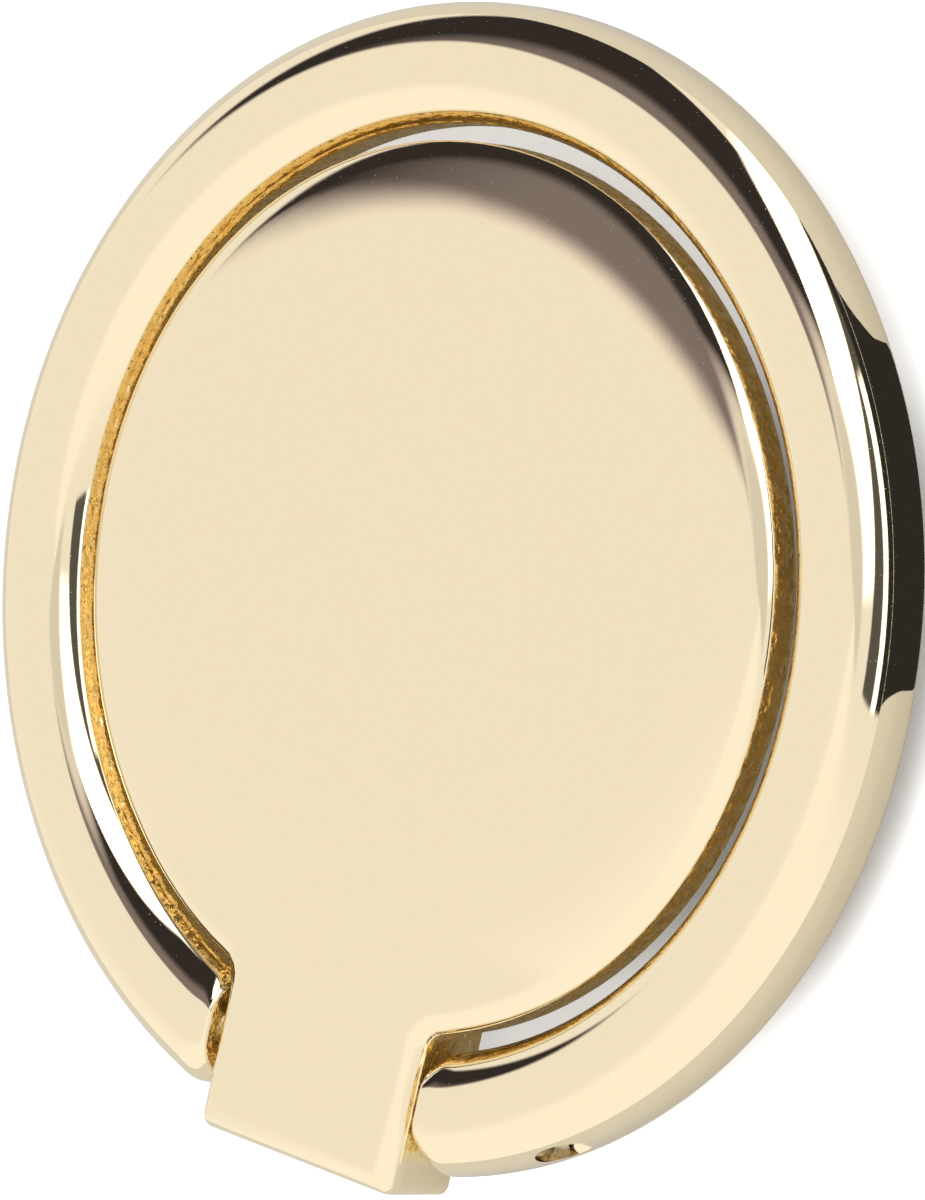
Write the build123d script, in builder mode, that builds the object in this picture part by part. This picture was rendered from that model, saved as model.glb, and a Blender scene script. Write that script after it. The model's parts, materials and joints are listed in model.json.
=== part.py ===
"""Phone ring holder: a plated disc with a hinge tab, a finger ring that flips on a pin through the tab,
and a riveted swivel plate with an adhesive pad behind the disc.

The holder lies on its pad. The origin is the disc's centre on the pad's back face, +Z points out of the
front, the tab points to -Y and the hinge runs along X.
"""

import os
from math import sqrt

from build123d import *

# Finger ring
ring_diameter = 40.0
ring_band = 4.2
ring_thickness = 2.65
ring_set_back = 0.05
ring_outer_round = 1.6
ring_inner_round = 1.45
ring_back_round = 0.45
ring_end_gap = 0.35
ring_end_corner = 0.95

# Disc inside the ring, and its hinge tab between the ring's ends
disc_gap = 0.6
base_thickness = 3.4
rim_thickness = 1.6
rim_overhang = 1.2
hub_wall = 0.8
front_round = 0.75
base_back_chamfer = 0.2
tab_width = 9.05
tab_overhang = 0.25
tab_corner_round = 0.45
tab_root_round = 0.8

# Hinge pin, driven in from the ring's right side
pin_diameter = 1.2
pin_running_clearance = 0.03
pin_chamfer = 0.15
hinge_inset = 1.05
pin_far_wall = 1.5
pin_recess = 1.2

# Swivel plate, a steel pressing with a drawn cup in its middle
plate_thickness = 0.6
cup_diameter = 9.2
cup_depth = 0.7
cup_draft = 0.3
plate_rim_clearance = 0.3
plate_run_gap = 0.2
base_lift = 0.35

# Swivel rivet and washers
rivet_head_diameter = 6.4
rivet_head_thickness = 0.35
rivet_head_chamfer = 0.12
rivet_shoulder_diameter = 3.0
rivet_shank_diameter = 2.0
rivet_shank_length = 1.5
rivet_tip_chamfer = 0.2
shoulder_running_clearance = 0.05
rivet_head_gap = 0.05
spring_diameter = 5.8
spring_sheet = 0.15
spring_play = 0.01
thrust_diameter = 8.2
thrust_thickness = 0.2
washer_bore_clearance = 0.1

# Adhesive pad
pad_inset = 0.3
pad_thickness = 0.8

# Radii and heights that follow from the sizes above
ring_radius = ring_diameter / 2
ring_mid_radius = ring_radius - ring_band / 2
disc_radius = ring_radius - ring_band - disc_gap
hub_radius = disc_radius - rim_overhang
pocket_radius = hub_radius - hub_wall
plate_radius = pocket_radius - plate_rim_clearance
pin_radius = pin_diameter / 2
shoulder_radius = rivet_shoulder_diameter / 2
shank_radius = rivet_shank_diameter / 2
cup_radius = cup_diameter / 2
cup_outer_radius = cup_radius + plate_thickness + cup_draft
tab_reach = ring_radius + tab_overhang
hinge_reach = ring_mid_radius - hinge_inset

plate_back = pad_thickness
plate_front = plate_back + plate_thickness
web_back = plate_back + cup_depth
web_front = web_back + plate_thickness
head_back = pad_thickness + rivet_head_gap
head_front = head_back + rivet_head_thickness
seat = web_front + thrust_thickness
base_back = pad_thickness + base_lift
base_front = base_back + base_thickness
rim_back = base_front - rim_thickness
pocket_floor = plate_front + plate_run_gap
ring_front = base_front - ring_set_back
ring_back = ring_front - ring_thickness
hinge_height = ring_back + ring_thickness / 2

slot_half_width = tab_width / 2 + ring_end_gap
outer_wall_at_hinge = sqrt(ring_radius**2 - hinge_reach**2)
pin_left = -(outer_wall_at_hinge - pin_far_wall)
pin_right = outer_wall_at_hinge - pin_recess

os.makedirs("parts", exist_ok=True)

# Base: hub, tab and overhanging disc in one casting, rounded all round its front, pocketed for the swivel
with BuildPart() as base_disc:
    with BuildSketch(Plane.XY.offset(base_back)) as foot:
        Circle(hub_radius)
        with Locations((0, -tab_reach / 2)):
            Rectangle(tab_width, tab_reach)
        fillet(foot.vertices().group_by(Axis.Y)[0], tab_corner_round)
    extrude(amount=base_thickness - rim_thickness)
    chamfer(base_disc.faces().sort_by(Axis.Z)[0].edges(), base_back_chamfer)
    with BuildSketch(Plane.XY.offset(rim_back)) as keyhole:
        Circle(disc_radius)
        with Locations((0, -tab_reach / 2)):
            Rectangle(tab_width, tab_reach)
        fillet(keyhole.vertices().group_by(Axis.Y)[0], tab_corner_round)
        roots = keyhole.vertices().sort_by_distance((0, 0))[:2]
        fillet(roots, tab_root_round)
    extrude(amount=rim_thickness)
    fillet(base_disc.faces().sort_by(Axis.Z)[-1].edges(), front_round)
    with BuildSketch(Plane.XY.offset(base_back)):
        Circle(pocket_radius)
    extrude(amount=pocket_floor - base_back, mode=Mode.SUBTRACT)
    with BuildSketch(Plane.XY.offset(pocket_floor)):
        Circle(cup_outer_radius + plate_rim_clearance)
    extrude(amount=seat - pocket_floor, mode=Mode.SUBTRACT)
    with BuildSketch(Plane.XY.offset(seat)):
        Circle(shank_radius)
    extrude(amount=rivet_shank_length, mode=Mode.SUBTRACT)
    with BuildSketch(Plane.YZ.offset(-tab_width / 2)):
        with Locations((-hinge_reach, hinge_height)):
            Circle(pin_radius + pin_running_clearance)
    extrude(amount=tab_width, mode=Mode.SUBTRACT)

# Finger ring: a rounded section turned about the disc's axis, opened for the tab and rounded at its ends
with BuildPart() as finger_ring:
    with BuildSketch(Plane.XZ) as section:
        with Locations((ring_mid_radius, hinge_height)):
            Rectangle(ring_band, ring_thickness)
        back_corners = section.vertices().group_by(Axis.Y)[0]
        fillet(back_corners, ring_back_round)
        fillet(section.vertices().group_by(Axis.Y)[-1].sort_by(Axis.X)[-1], ring_outer_round)
        fillet(section.vertices().group_by(Axis.Y)[-1].sort_by(Axis.X)[0], ring_inner_round)
    revolve(axis=Axis.Z)
    with BuildSketch(Plane.XY.offset(ring_back)) as outline:
        Circle(ring_radius)
        Circle(ring_radius - ring_band, mode=Mode.SUBTRACT)
        with Locations((0, -ring_mid_radius)):
            Rectangle(2 * slot_half_width, 2 * ring_band, mode=Mode.SUBTRACT)
        fillet(outline.vertices().filter_by_position(Axis.Y, -ring_radius, 0), ring_end_corner)
    extrude(amount=ring_thickness, mode=Mode.INTERSECT)
    with BuildSketch(Plane.YZ.offset(pin_left)):
        with Locations((-hinge_reach, hinge_height)):
            Circle(pin_radius)
    extrude(amount=ring_radius - pin_left, mode=Mode.SUBTRACT)

# Hinge pin: pressed into both ends of the ring, running in the tab
with BuildPart() as hinge_pin:
    with BuildSketch(Plane.YZ.offset(pin_left)):
        with Locations((-hinge_reach, hinge_height)):
            Circle(pin_radius)
    extrude(amount=pin_right - pin_left)
    chamfer(hinge_pin.edges(), pin_chamfer)

# Swivel plate: flat flange for the pad, with a drawn cup that clears the rivet's head
with BuildPart() as swivel_plate:
    with BuildSketch(Plane.XZ):
        with BuildLine():
            Polyline(
                (shoulder_radius + shoulder_running_clearance, web_back),
                (cup_radius, web_back),
                (cup_radius + cup_draft, plate_back),
                (plate_radius, plate_back),
                (plate_radius, plate_front),
                (cup_outer_radius, plate_front),
                (cup_outer_radius - cup_draft, web_front),
                (shoulder_radius + shoulder_running_clearance, web_front),
                close=True,
            )
        make_face()
    revolve(axis=Axis.Z)

# Rivet: head in the plate's cup, shoulder through the plate, shank pressed into the disc
with BuildPart() as swivel_rivet:
    with BuildSketch(Plane.XY.offset(head_back)):
        Circle(rivet_head_diameter / 2)
    extrude(amount=rivet_head_thickness)
    chamfer(swivel_rivet.faces().sort_by(Axis.Z)[0].edges(), rivet_head_chamfer)
    with BuildSketch(Plane.XY.offset(head_front)):
        Circle(shoulder_radius)
    extrude(amount=seat - head_front)
    with BuildSketch(Plane.XY.offset(seat)):
        Circle(shank_radius)
    extrude(amount=rivet_shank_length)
    chamfer(swivel_rivet.faces().sort_by(Axis.Z)[-1].edges(), rivet_tip_chamfer)

# Spring washer: dished, between the rivet's head and the cup, for the swivel's drag
with BuildPart() as spring_washer:
    with BuildSketch(Plane.XZ):
        with BuildLine():
            Polyline(
                (shoulder_radius + washer_bore_clearance, web_back - spring_play - spring_sheet),
                (shoulder_radius + washer_bore_clearance, web_back - spring_play),
                (spring_diameter / 2, head_front + spring_play + spring_sheet),
                (spring_diameter / 2, head_front + spring_play),
                close=True,
            )
        make_face()
    revolve(axis=Axis.Z)

# Thrust washer: a thin slippery ring that the disc turns on
with BuildPart() as thrust_washer:
    with BuildSketch(Plane.XY.offset(web_front)):
        Circle(thrust_diameter / 2)
        Circle(shoulder_radius + washer_bore_clearance, mode=Mode.SUBTRACT)
    extrude(amount=thrust_thickness)

# Adhesive pad: foam disc on the plate's back
with BuildPart() as adhesive_pad:
    with BuildSketch():
        Circle(plate_radius - pad_inset)
    extrude(amount=pad_thickness)

base_disc.part.label = "base_disc"
export_step(base_disc.part, "parts/base_disc.step")
finger_ring.part.label = "finger_ring"
export_step(finger_ring.part, "parts/finger_ring.step")
hinge_pin.part.label = "hinge_pin"
export_step(hinge_pin.part, "parts/hinge_pin.step")
swivel_plate.part.label = "swivel_plate"
export_step(swivel_plate.part, "parts/swivel_plate.step")
swivel_rivet.part.label = "swivel_rivet"
export_step(swivel_rivet.part, "parts/swivel_rivet.step")
spring_washer.part.label = "spring_washer"
export_step(spring_washer.part, "parts/spring_washer.step")
thrust_washer.part.label = "thrust_washer"
export_step(thrust_washer.part, "parts/thrust_washer.step")
adhesive_pad.part.label = "adhesive_pad"
export_step(adhesive_pad.part, "parts/adhesive_pad.step")
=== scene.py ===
"""Looks of the phone ring holder: mirror gold plating, steel, nylon and foam, in a plain white studio.

Lengths are in metres unless a name ends in _mm, and angles are in degrees.
"""

import json
from math import cos, degrees, radians, sin, sqrt

import bmesh
import bpy
from mathutils import Matrix, Vector


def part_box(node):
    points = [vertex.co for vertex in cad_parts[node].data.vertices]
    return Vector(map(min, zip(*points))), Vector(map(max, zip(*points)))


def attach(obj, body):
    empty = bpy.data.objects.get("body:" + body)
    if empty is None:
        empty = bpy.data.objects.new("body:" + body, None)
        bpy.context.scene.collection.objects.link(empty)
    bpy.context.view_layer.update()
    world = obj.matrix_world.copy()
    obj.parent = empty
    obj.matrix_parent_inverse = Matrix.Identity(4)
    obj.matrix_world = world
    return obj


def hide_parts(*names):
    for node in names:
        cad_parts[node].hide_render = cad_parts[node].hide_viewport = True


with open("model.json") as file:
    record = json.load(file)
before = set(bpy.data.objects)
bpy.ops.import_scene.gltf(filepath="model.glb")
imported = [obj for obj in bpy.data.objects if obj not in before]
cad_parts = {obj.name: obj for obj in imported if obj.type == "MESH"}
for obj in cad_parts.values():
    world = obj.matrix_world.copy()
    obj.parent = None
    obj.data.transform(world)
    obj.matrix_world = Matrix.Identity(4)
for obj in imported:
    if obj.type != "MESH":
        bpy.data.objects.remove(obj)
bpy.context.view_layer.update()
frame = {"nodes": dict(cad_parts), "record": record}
nodes = frame["nodes"]

ring_low, ring_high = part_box("finger_ring")
face_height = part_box("base_disc")[1].z
ring_radius = ring_high.x
ring_radius_mm = ring_radius * 1000
joints = {joint["name"]: joint for joint in frame["record"]["behaviour"]["joints"]}
hinge = Vector(joints["ring_flip"]["pos_m"])

# Finger ring's section and ends, as in the part
ring_band = 0.0042
ring_outer_round = 0.0016
ring_inner_round = 0.00145
ring_back_round = 0.00045
slot_half_width = 0.004875
end_corner = 0.00095
end_edge_round = 0.00015
pin_bore_radius = 0.0006

# How finely the ring is modelled. It is spun from +Y to just past the end beside the tab.
front_round_segments = 18
back_round_segments = 7
spin_steps = 130
spin_angle = 166
end_steps = 14
end_edge_steps = 4
bore_sides = 48

# Disc's front: the round at its rim, and how buffing rolled the face off towards it, by a slope that
# grows from nothing at a radius, at a rate per metre
rim_round = 0.00074
rim_round_steps = 12
rim_height = 0.00058
roll_off_from = 0.0112
roll_off_rate = 45.0
roll_off_bands = 12
roll_off_width = 0.0030

# Mesh points closer than these are merged: the same point twice, points that crowd together as a
# face is inset, and points of the disc's outline before that
same_point = 0.000001
crowded = 0.00012
crowded_outline = 0.0002

# Camera, as the photograph was taken: from the holder's right, rolled so that the tab hangs down
view_azimuth = 11.516
view_elevation = 49.592
view_roll = -86.446
view_distance = 0.33889
aim_right = 0.00165
aim_up = -0.00046
lens_mm = 300.0
sensor_mm = 36.0

# Plating colour, a deeper, brighter gold painted on the gap's walls as light bouncing between them, and the
# studio's brightness levels
gold = (0.875, 0.750, 0.523, 1.0)
gold_painted_bounce = (1.0, 0.76, 0.33, 1.0)
room_level = 1.0
window_level = 2.2
zenith_level = 0.78
panel_level = 0.035
stack_level = 0.11
black_level = 0.03
floor_level = 0.82
white = (1.0, 1.0, 1.0, 1.0)


class Signal:
    """A number in a node tree. Arithmetic on signals adds Math nodes."""

    def __init__(self, finish, socket):
        self.finish = finish
        self.socket = socket

    def math(self, operation, *values):
        sockets = dict(enumerate(values))
        return self.finish.node("ShaderNodeMath", {"operation": operation}, sockets)[0]

    def __add__(self, other):
        return self.math("ADD", self, other)

    def __sub__(self, other):
        return self.math("SUBTRACT", self, other)

    def __rsub__(self, other):
        return self.math("SUBTRACT", other, self)

    def __mul__(self, other):
        return self.math("MULTIPLY", self, other)

    def __pow__(self, other):
        return self.math("POWER", self, other)

    def __lt__(self, other):
        return self.math("LESS_THAN", self, other)

    __radd__ = __add__
    __rmul__ = __mul__


class Finish:
    """The node tree of one material or of the world."""

    def __init__(self, owner):
        owner.use_nodes = True
        self.tree = owner.node_tree
        self.tree.nodes.clear()

    def node(self, kind, settings, sockets):
        made = self.tree.nodes.new(kind)
        for name, value in settings.items():
            setattr(made, name, value)
        for name, value in sockets.items():
            if isinstance(value, Signal):
                self.tree.links.new(value.socket, made.inputs[name])
            else:
                made.inputs[name].default_value = value
        return [Signal(self, socket) for socket in made.outputs]

    def rise(self, value, low, high):
        """0 below low, 1 above high, smooth between. With low above high it falls."""
        sockets = {"Value": value, "From Min": low, "From Max": high}
        return self.node("ShaderNodeMapRange", {"interpolation_type": "SMOOTHSTEP"}, sockets)[0]

    def mix(self, share, first, second):
        return self.node("ShaderNodeMix", {"data_type": "RGBA"}, {0: share, 6: first, 7: second})[2]

    def object_place(self):
        """X, Y, Z in the holder's own frame and the vector itself, in mm."""
        place = self.node("ShaderNodeTexCoord", {}, {})[3]
        scaled = self.node("ShaderNodeVectorMath", {"operation": "SCALE"}, {0: place, "Scale": 1000.0})[0]
        x, y, z = self.node("ShaderNodeSeparateXYZ", {}, {0: scaled})
        return x, y, z, scaled

    def stretch(self, vector, scale):
        return self.node("ShaderNodeMapping", {}, {"Vector": vector, "Scale": scale})[0]

    def noise(self, vector, scale, detail):
        return self.node("ShaderNodeTexNoise", {}, {"Vector": vector, "Scale": scale, "Detail": detail})[0]

    def specks(self, vector, scale, size, share):
        """1 inside round specks of a size in cells, in that share of the cells."""
        distance, colour = self.node("ShaderNodeTexVoronoi", {}, {"Vector": vector, "Scale": scale})[:2]
        chance = self.node("ShaderNodeSeparateColor", {}, {0: colour})[0]
        return (distance < size) * (chance < share)

    def bump(self, height):
        """Normals for a height in mm."""
        return self.node("ShaderNodeBump", {}, {"Height": height, "Distance": 0.001, "Strength": 1.0})[0]

    def surface(self, shader, kind="ShaderNodeOutputMaterial"):
        self.node(kind, {}, {"Surface": shader})


def open_piece(piece):
    """The piece alone, selected and in edit mode."""
    bpy.ops.object.select_all(action="DESELECT")
    piece.select_set(True)
    bpy.context.view_layer.objects.active = piece
    bpy.ops.object.mode_set(mode="EDIT")


def pick(piece, kind, wanted):
    """In edit mode, selects only the vertices or faces that are wanted."""
    bpy.ops.mesh.select_mode(type={"verts": "VERT", "faces": "FACE"}[kind])
    bpy.ops.mesh.select_all(action="DESELECT")
    form = bmesh.from_edit_mesh(piece.data)
    for item in getattr(form, kind):
        if wanted(item):
            item.select_set(True)
    form.select_flush_mode()
    bmesh.update_edit_mesh(piece.data)


def close_piece(piece, smooth_angle):
    """Back to object mode, with merged points, outward faces and smooth shading up to an angle."""
    bpy.ops.mesh.select_all(action="SELECT")
    bpy.ops.mesh.remove_doubles(threshold=same_point)
    bpy.ops.mesh.normals_make_consistent(inside=False)
    bpy.ops.object.mode_set(mode="OBJECT")
    bpy.ops.object.shade_smooth_by_angle(angle=radians(smooth_angle))


def round_over(radius, steps, merge):
    """Carries the selected flat face round a quarter circle by insets and lifts, merging close points."""
    for step in range(steps):
        low = radians(90) * step / steps
        high = radians(90) * (step + 1) / steps
        inward = radius * (cos(low) - cos(high))
        upward = radius * (sin(high) - sin(low))
        bpy.ops.mesh.inset(thickness=inward, depth=upward, use_even_offset=True)
        bpy.ops.mesh.remove_doubles(threshold=merge)


def stand_for(piece, node, body, material):
    """The piece, plated, rides a body in place of a CAD node."""
    piece.data.materials.clear()
    piece.data.materials.append(material)
    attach(piece, body)
    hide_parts(node)


def roll_off(x, y):
    """How far buffing lowered the disc's front at a place. The tab stays nearly flat."""
    past = max(sqrt(x**2 + max(y, -roll_off_from) ** 2) - roll_off_from, 0)
    return past**2 * roll_off_rate / 2


def make_disc(material):
    """The disc and tab with their front cut off and modelled again: a fine round and a rolled-off face."""
    piece = nodes["base_disc"].copy()
    piece.data = nodes["base_disc"].data.copy()
    piece.name = "polished_disc"
    bpy.context.scene.collection.objects.link(piece)
    piece.parent = None
    piece.matrix_world = Matrix()
    open_piece(piece)
    bpy.ops.mesh.customdata_custom_splitnormals_clear()
    bpy.ops.mesh.select_all(action="SELECT")
    bpy.ops.mesh.remove_doubles(threshold=same_point)
    cut_height = face_height - rim_round
    bpy.ops.mesh.bisect(
        plane_co=(0, 0, cut_height), plane_no=(0, 0, 1), use_fill=True, clear_outer=True, threshold=same_point
    )
    top = cut_height - 0.00001
    pick(piece, "faces", lambda face: face.normal.z > 0.99 and face.calc_center_median().z > top)
    bpy.ops.mesh.dissolve_faces()
    bpy.ops.mesh.remove_doubles(threshold=crowded_outline)
    round_over(rim_round, rim_round_steps, crowded)
    for _ in range(roll_off_bands):
        bpy.ops.mesh.inset(thickness=roll_off_width / roll_off_bands, depth=0.0, use_even_offset=True)
        bpy.ops.mesh.remove_doubles(threshold=crowded)

    # The flat front and its round are then brought to their heights, from the wall's top up to the face
    form = bmesh.from_edit_mesh(piece.data)
    wall_top = face_height - rim_height
    for vertex in form.verts:
        lift = vertex.co.z - cut_height
        if lift > -same_point * 5:
            rise = face_height - roll_off(vertex.co.x, vertex.co.y) - wall_top
            vertex.co.z = wall_top + rise * max(lift, 0) / rim_round
    bmesh.update_edit_mesh(piece.data)
    close_piece(piece, 35)
    stand_for(piece, "base_disc", "base", material)


def make_ring(material):
    """The finger ring: a rounded section spun to one end, drawn in round its corners, mirrored and bored."""
    bpy.ops.object.select_all(action="DESELECT")
    middle = ring_radius - ring_band / 2
    thickness = ring_high.z - ring_low.z
    upright = (radians(90), 0, radians(90))
    bpy.ops.mesh.primitive_plane_add(size=1.0, location=(0, middle, hinge.z), rotation=upright)
    piece = bpy.context.object
    piece.name = "polished_ring"
    piece.scale = (ring_band, thickness, 1.0)
    bpy.ops.object.transform_apply(location=True, rotation=True, scale=True)
    open_piece(piece)

    # Each corner of the section is rounded, the two in front first
    def at_corner(vertex, out, up):
        outward = (vertex.co.y - middle) * out / ring_band
        upward = (vertex.co.z - hinge.z) * up / thickness
        return min(outward, upward) > 0.49

    for out, up, radius, segments in (
        (1, 1, ring_outer_round, front_round_segments),
        (-1, 1, ring_inner_round, front_round_segments),
        (1, -1, ring_back_round, back_round_segments),
        (-1, -1, ring_back_round, back_round_segments),
    ):
        pick(piece, "verts", lambda vertex: at_corner(vertex, out, up))
        bpy.ops.mesh.bevel(offset=radius, segments=segments, affect="VERTICES", profile=0.5)
    bpy.ops.mesh.select_all(action="SELECT")
    bpy.ops.mesh.delete(type="ONLY_FACE")
    bpy.ops.mesh.select_all(action="SELECT")
    bpy.ops.mesh.spin(steps=spin_steps, angle=radians(spin_angle), center=(0, 0, 0), axis=(0, 0, 1))
    bpy.ops.mesh.select_all(action="SELECT")
    bpy.ops.mesh.remove_doubles(threshold=same_point)

    # Centres of the end's corner rounds in plan, and where the outer one starts
    across = slot_half_width + end_corner
    outer_centre = -sqrt((ring_radius - end_corner) ** 2 - across**2)
    inner_radius = ring_radius - ring_band
    inner_centre = -sqrt((inner_radius + end_corner) ** 2 - across**2)
    start = across * ring_radius / (ring_radius - end_corner)

    def outer_edge(x):
        return outer_centre - sqrt(max(end_corner**2 - (across - x) ** 2, 0))

    def inner_edge(x):
        if x > across * inner_radius / (inner_radius + end_corner):
            return -sqrt(inner_radius**2 - x**2)
        return inner_centre + sqrt(max(end_corner**2 - (across - x) ** 2, 0))

    near_tab = -ring_radius / 2
    pick(piece, "faces", lambda face: face.calc_center_median().y < near_tab)
    bpy.ops.mesh.bisect(
        plane_co=(start, 0, 0), plane_no=(1, 0, 0), use_fill=True, clear_inner=True, threshold=same_point
    )
    pick(piece, "faces", lambda face: face.normal.x < -0.99 and face.calc_center_median().y < near_tab)
    here = start
    outer, inner = outer_edge(start), inner_edge(start)
    for step in range(1, end_steps + 1):
        there = start + (slot_half_width + end_edge_round - start) * sin(radians(90) * step / end_steps)
        bpy.ops.mesh.extrude_region_move(TRANSFORM_OT_translate={"value": (there - here, 0, 0)})
        new_outer, new_inner = outer_edge(there), inner_edge(there)
        narrow = (new_outer - new_inner) / (outer - inner)
        pivot = (new_outer - narrow * outer) / (1 - narrow)
        bpy.ops.transform.resize(value=(1, narrow, 1), center_override=(0, pivot, 0))
        here, outer, inner = there, new_outer, new_inner
    round_over(end_edge_round, end_edge_steps, same_point)
    close_piece(piece, 50)

    mirror = piece.modifiers.new("other_half", "MIRROR")
    mirror.merge_threshold = same_point * 2
    bpy.ops.object.modifier_apply(modifier=mirror.name)

    # The bore runs from the pin's far end out through the ring's right side
    pin_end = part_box("hinge_pin")[0].x
    length = ring_radius + 0.001 - pin_end
    bpy.ops.mesh.primitive_cylinder_add(
        vertices=bore_sides,
        radius=pin_bore_radius,
        depth=length,
        location=(pin_end + length / 2, hinge.y, hinge.z),
        rotation=(0, radians(90), 0),
    )
    drill = bpy.context.object
    bpy.ops.object.select_all(action="DESELECT")
    piece.select_set(True)
    bpy.context.view_layer.objects.active = piece
    bore = piece.modifiers.new("pin_bore", "BOOLEAN")
    bore.operation = "DIFFERENCE"
    bore.solver = "EXACT"
    bore.object = drill
    bpy.ops.object.modifier_apply(modifier=bore.name)
    bpy.data.objects.remove(drill)
    bpy.ops.object.shade_smooth_by_angle(angle=radians(50))
    stand_for(piece, "finger_ring", "ring", material)


def new_finish(name):
    material = bpy.data.materials.new(name)
    return material, Finish(material)


def make_gold():
    """Mirror plating with fine dust and hairlines, and as-cast gap walls that no wheel reached: rougher and
    lumpy, with a painted deeper gold for light bouncing between them.
    """
    material, finish = new_finish("mirror_gold")
    x, y, _, place = finish.object_place()
    radius = (x * x + y * y) ** 0.5
    normal = finish.node("ShaderNodeTexCoord", {}, {})[1]
    normal_z = finish.node("ShaderNodeSeparateXYZ", {}, {0: normal})[2]
    # The gap's upright walls: really as-cast, so rougher and lumpy, and also where the bounce light is
    # painted
    cast_wall_and_bounce = finish.rise(normal_z * normal_z, 0.14, 0.03) * finish.rise(radius, 19.7, 19.2)

    dust = finish.specks(place, 9.0, 0.16, 0.10)
    pits = finish.specks(place, 2.3, 0.045, 0.16)
    haze = finish.noise(place, 0.35, 1.0)
    grain = finish.noise(finish.stretch(place, (9.0, 0.7, 9.0)), 2.2, 2.0)
    lumps = finish.noise(place, 2.4, 2.0)

    # Painted bounce light: the gap walls' colour is pushed to a deeper, brighter gold, patchy with the lumps
    colour = finish.mix(cast_wall_and_bounce * (0.55 + lumps * 0.4), gold, gold_painted_bounce)
    colour = finish.mix(dust * 0.25, colour, (0.55, 0.50, 0.42, 1.0))
    polish = 0.025 + haze * 0.02 + grain * 0.012
    roughness = polish + dust * 0.30 + pits * 0.25 + cast_wall_and_bounce * (0.14 + lumps * 0.22)
    height = haze * 0.0035 + grain * 0.0003 + cast_wall_and_bounce * lumps * 0.13
    shader = finish.node(
        "ShaderNodeBsdfPrincipled",
        {},
        {
            "Base Color": colour,
            "Metallic": 1.0,
            "Roughness": roughness,
            "Normal": finish.bump(height),
        },
    )[0]
    finish.surface(shader)
    return material


def make_steel(name, colour, ring_marks):
    """Drawn or pressed bright steel with fine turning marks."""
    material, finish = new_finish(name)
    x, y, z, place = finish.object_place()
    radius = (x * x + y * y) ** 0.5
    lines = finish.node("ShaderNodeCombineXYZ", {}, {0: radius if ring_marks else y, 1: z, 2: 0.0})[0]
    marks = finish.noise(lines, 14.0, 2.0)
    stain = finish.noise(place, 0.6, 3.0)
    tint = finish.mix(stain * 0.35, colour, tuple(c * 0.72 for c in colour[:3]) + (1.0,))
    shader = finish.node(
        "ShaderNodeBsdfPrincipled",
        {},
        {
            "Base Color": tint,
            "Metallic": 1.0,
            "Roughness": 0.22 + marks * 0.14,
            "Normal": finish.bump(marks * 0.004),
        },
    )[0]
    finish.surface(shader)
    return material


def make_nylon():
    """Natural nylon: milky, a little cloudy and half dull."""
    material, finish = new_finish("natural_nylon")
    place = finish.object_place()[3]
    cloud = finish.noise(place, 0.9, 2.0)
    colour = finish.mix(cloud, (0.80, 0.78, 0.70, 1.0), (0.86, 0.84, 0.78, 1.0))
    sockets = {"Base Color": colour, "Roughness": 0.35 + cloud * 0.15}
    finish.surface(finish.node("ShaderNodeBsdfPrincipled", {}, sockets)[0])
    return material


def make_foam():
    """Black acrylic foam: dull, with fine open pores on its cut edge and face."""
    material, finish = new_finish("black_foam")
    place = finish.object_place()[3]
    pores = finish.noise(place, 9.0, 3.0)
    blotch = finish.noise(place, 0.5, 2.0)
    colour = finish.mix(blotch, (0.012, 0.012, 0.013, 1.0), (0.026, 0.026, 0.028, 1.0))
    shader = finish.node(
        "ShaderNodeBsdfPrincipled",
        {},
        {"Base Color": colour, "Roughness": 0.62 + pores * 0.25, "Normal": finish.bump(pores * 0.06)},
    )[0]
    finish.surface(shader)
    return material


def dress(node, material):
    nodes[node].data.materials.clear()
    nodes[node].data.materials.append(material)


def make_floor():
    """White floor with the holder's shadow, lifted to white for the camera, with a painted shadow under the
    holder that keeps it dim seen through the gap.
    """
    bpy.ops.object.select_all(action="DESELECT")
    bpy.ops.mesh.primitive_plane_add(size=6.0, location=(0, 0, -0.00003))
    floor = bpy.context.object
    floor.name = "floor"
    material, finish = new_finish("white_floor")
    camera_ray = finish.node("ShaderNodeLightPath", {}, {})[0]
    x, y = finish.object_place()[:2]
    # Painted shadow: for the camera the floor's glow drops to 0.14 under the holder, lighter further out
    # along ±Y
    clear_of_holder = finish.rise((x * x + y * y) ** 0.5, ring_radius_mm - 1.6, ring_radius_mm + 0.4)
    painted_shadow_level = 0.14 + finish.rise(y * y, 40.0, 150.0) * 0.36
    level = painted_shadow_level + clear_of_holder * (floor_level - painted_shadow_level)
    diffuse = finish.node("ShaderNodeBsdfDiffuse", {}, {"Color": (0.80, 0.80, 0.80, 1.0)})[0]
    glow = finish.node("ShaderNodeEmission", {}, {"Color": white, "Strength": camera_ray * level})[0]
    finish.surface(finish.node("ShaderNodeAddShader", {}, {0: diffuse, 1: glow})[0])
    floor.data.materials.append(material)


def make_floor_card():
    """Black card lying beside the ring's right edge, seen only in the metal."""
    bpy.ops.object.select_all(action="DESELECT")
    bpy.ops.mesh.primitive_plane_add(size=2.0)
    card = bpy.context.object
    card.name = "floor_card"
    near = ring_radius + 0.0003
    corners = []
    for reach in (0.0, 0.25):
        for start, run in ((4.4, -3.0), (39.0, 66.0)):
            x = near * cos(radians(start)) + reach * cos(radians(run))
            y = near * sin(radians(start)) + reach * sin(radians(run))
            corners.append(Vector((x, y, 0.0001)))
    for vertex, corner in zip(card.data.vertices, corners):
        vertex.co = corner
    card.visible_camera = False
    card.visible_diffuse = False
    card.visible_shadow = False
    material, finish = new_finish("black_card")
    finish.surface(finish.node("ShaderNodeEmission", {}, {"Color": white, "Strength": black_level})[0])
    card.data.materials.append(material)


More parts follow.
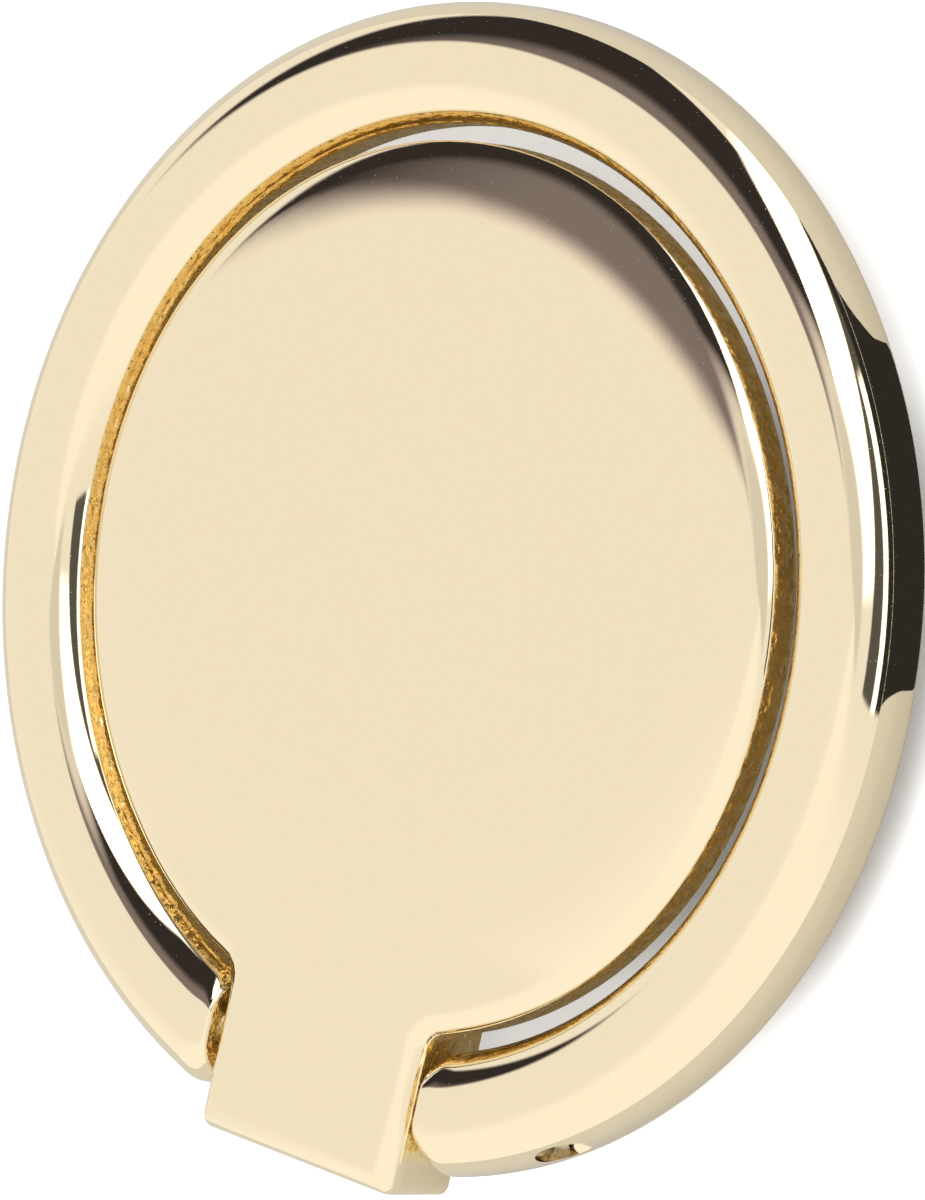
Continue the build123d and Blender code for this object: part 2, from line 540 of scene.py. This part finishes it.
def make_studio():
    """White room as the metal mirrors it: a bright window, a grey stack under it and a dark panel beside.

    Headings run from +Y towards -X. All but mirror rays meet plain white.
    """
    world = bpy.data.worlds.new("white_studio")
    bpy.context.scene.world = world
    world.cycles.sampling_method = "NONE"
    finish = Finish(world)
    direction = finish.node("ShaderNodeTexCoord", {}, {})[0]
    x, y, z = finish.node("ShaderNodeSeparateXYZ", {}, {0: direction})
    heading = x.math("ARCTAN2", x * -1.0, y) * degrees(1)
    height = z.math("ARCSINE", z) * degrees(1)

    def edge_over(crossing, slope):
        """Height above a straight edge that meets the horizon at a heading and falls on by a slope."""
        across = (heading - crossing) * radians(1)
        lift = across.math("SINE", across) * -slope
        return height - lift.math("ARCTANGENT", lift) * degrees(1)

    def between(value, low, fade_in, high, fade_out):
        """1 between low and high, fading in above low and out below high."""
        return finish.rise(value, low, low + fade_in) * finish.rise(value, high, high - fade_out)

    tab_side = finish.rise(heading, 102.0, 135.0) + finish.rise(heading, -98.0, -130.0)
    room = room_level + 0.13 * tab_side

    window = between(heading, -78.0, 8.0, 8.0, 5.0) * finish.rise(height, 76.0, 70.0)
    light = room + window * (window_level - room_level)

    zenith = finish.rise(height, 70.0, 78.0) * between(heading, -105.0, 10.0, 95.0, 10.0)
    light = light + zenith * (zenith_level - light)

    # The stack is grey, with a bright strip across it and a black foot
    stack = between(heading, -95.0, 1.5, -8.0, 6.0) * finish.rise(edge_over(-10.0, 1.21), 2.0, -2.0)
    strip = between(height, 12.0, 2.0, 26.0, 3.0) * finish.rise(heading, -37.0, -41.0)
    foot = finish.rise(height, 12.5, 11.0)
    stack_light = stack_level + strip * (window_level - stack_level) - foot * (stack_level - black_level)
    light = light + stack * (stack_light - light)

    # The panel is dark, and greyer high up on its far side
    panel = (
        between(heading, 3.0, 3.0, 90.0, 7.0)
        * finish.rise(edge_over(23.0, 1.245), -2.0, 2.0)
        * finish.rise(edge_over(45.0, -0.884), -3.0, 3.0)
        * finish.rise(height, 75.0, 65.0)
    )
    panel_light = panel_level + 0.20 * finish.rise(heading, 35.0, 65.0) * finish.rise(height, 38.0, 52.0)
    light = light + panel * (panel_light - light)

    mirrored = finish.node("ShaderNodeLightPath", {}, {})[3]
    strength = light * mirrored + (1.0 - mirrored)
    tint = finish.mix(panel * mirrored, white, (1.0, 0.88, 0.99, 1.0))
    background = finish.node("ShaderNodeBackground", {}, {"Color": tint, "Strength": strength})[0]
    finish.surface(background, "ShaderNodeOutputWorld")


def make_camera():
    data = bpy.data.cameras.new("photo_camera")
    data.lens = lens_mm
    data.sensor_fit = "VERTICAL"
    data.sensor_height = sensor_mm
    data.clip_start = 0.01
    camera = bpy.data.objects.new("photo_camera", data)
    bpy.context.scene.collection.objects.link(camera)
    turn = (
        Matrix.Rotation(radians(view_azimuth + 90), 4, "Z")
        @ Matrix.Rotation(radians(90 - view_elevation), 4, "X")
        @ Matrix.Rotation(radians(view_roll), 4, "Z")
    )
    face_centre = Vector((0, 0, face_height))
    stand = turn @ Vector((aim_right, aim_up, view_distance))
    camera.matrix_world = Matrix.Translation(face_centre + stand) @ turn
    bpy.context.scene.camera = camera


plating = make_gold()
make_disc(plating)
make_ring(plating)
dress("hinge_pin", make_steel("pin_steel", (0.62, 0.61, 0.60, 1.0), False))
dress("swivel_rivet", make_steel("rivet_steel", (0.62, 0.61, 0.60, 1.0), True))
dress("spring_washer", make_steel("spring_steel", (0.50, 0.50, 0.51, 1.0), True))
dress("swivel_plate", make_steel("plate_nickel", (0.70, 0.70, 0.71, 1.0), True))
dress("thrust_washer", make_nylon())
dress("adhesive_pad", make_foam())

make_floor()
make_floor_card()
make_studio()
make_camera()
bpy.context.scene.view_settings.view_transform = "Standard"
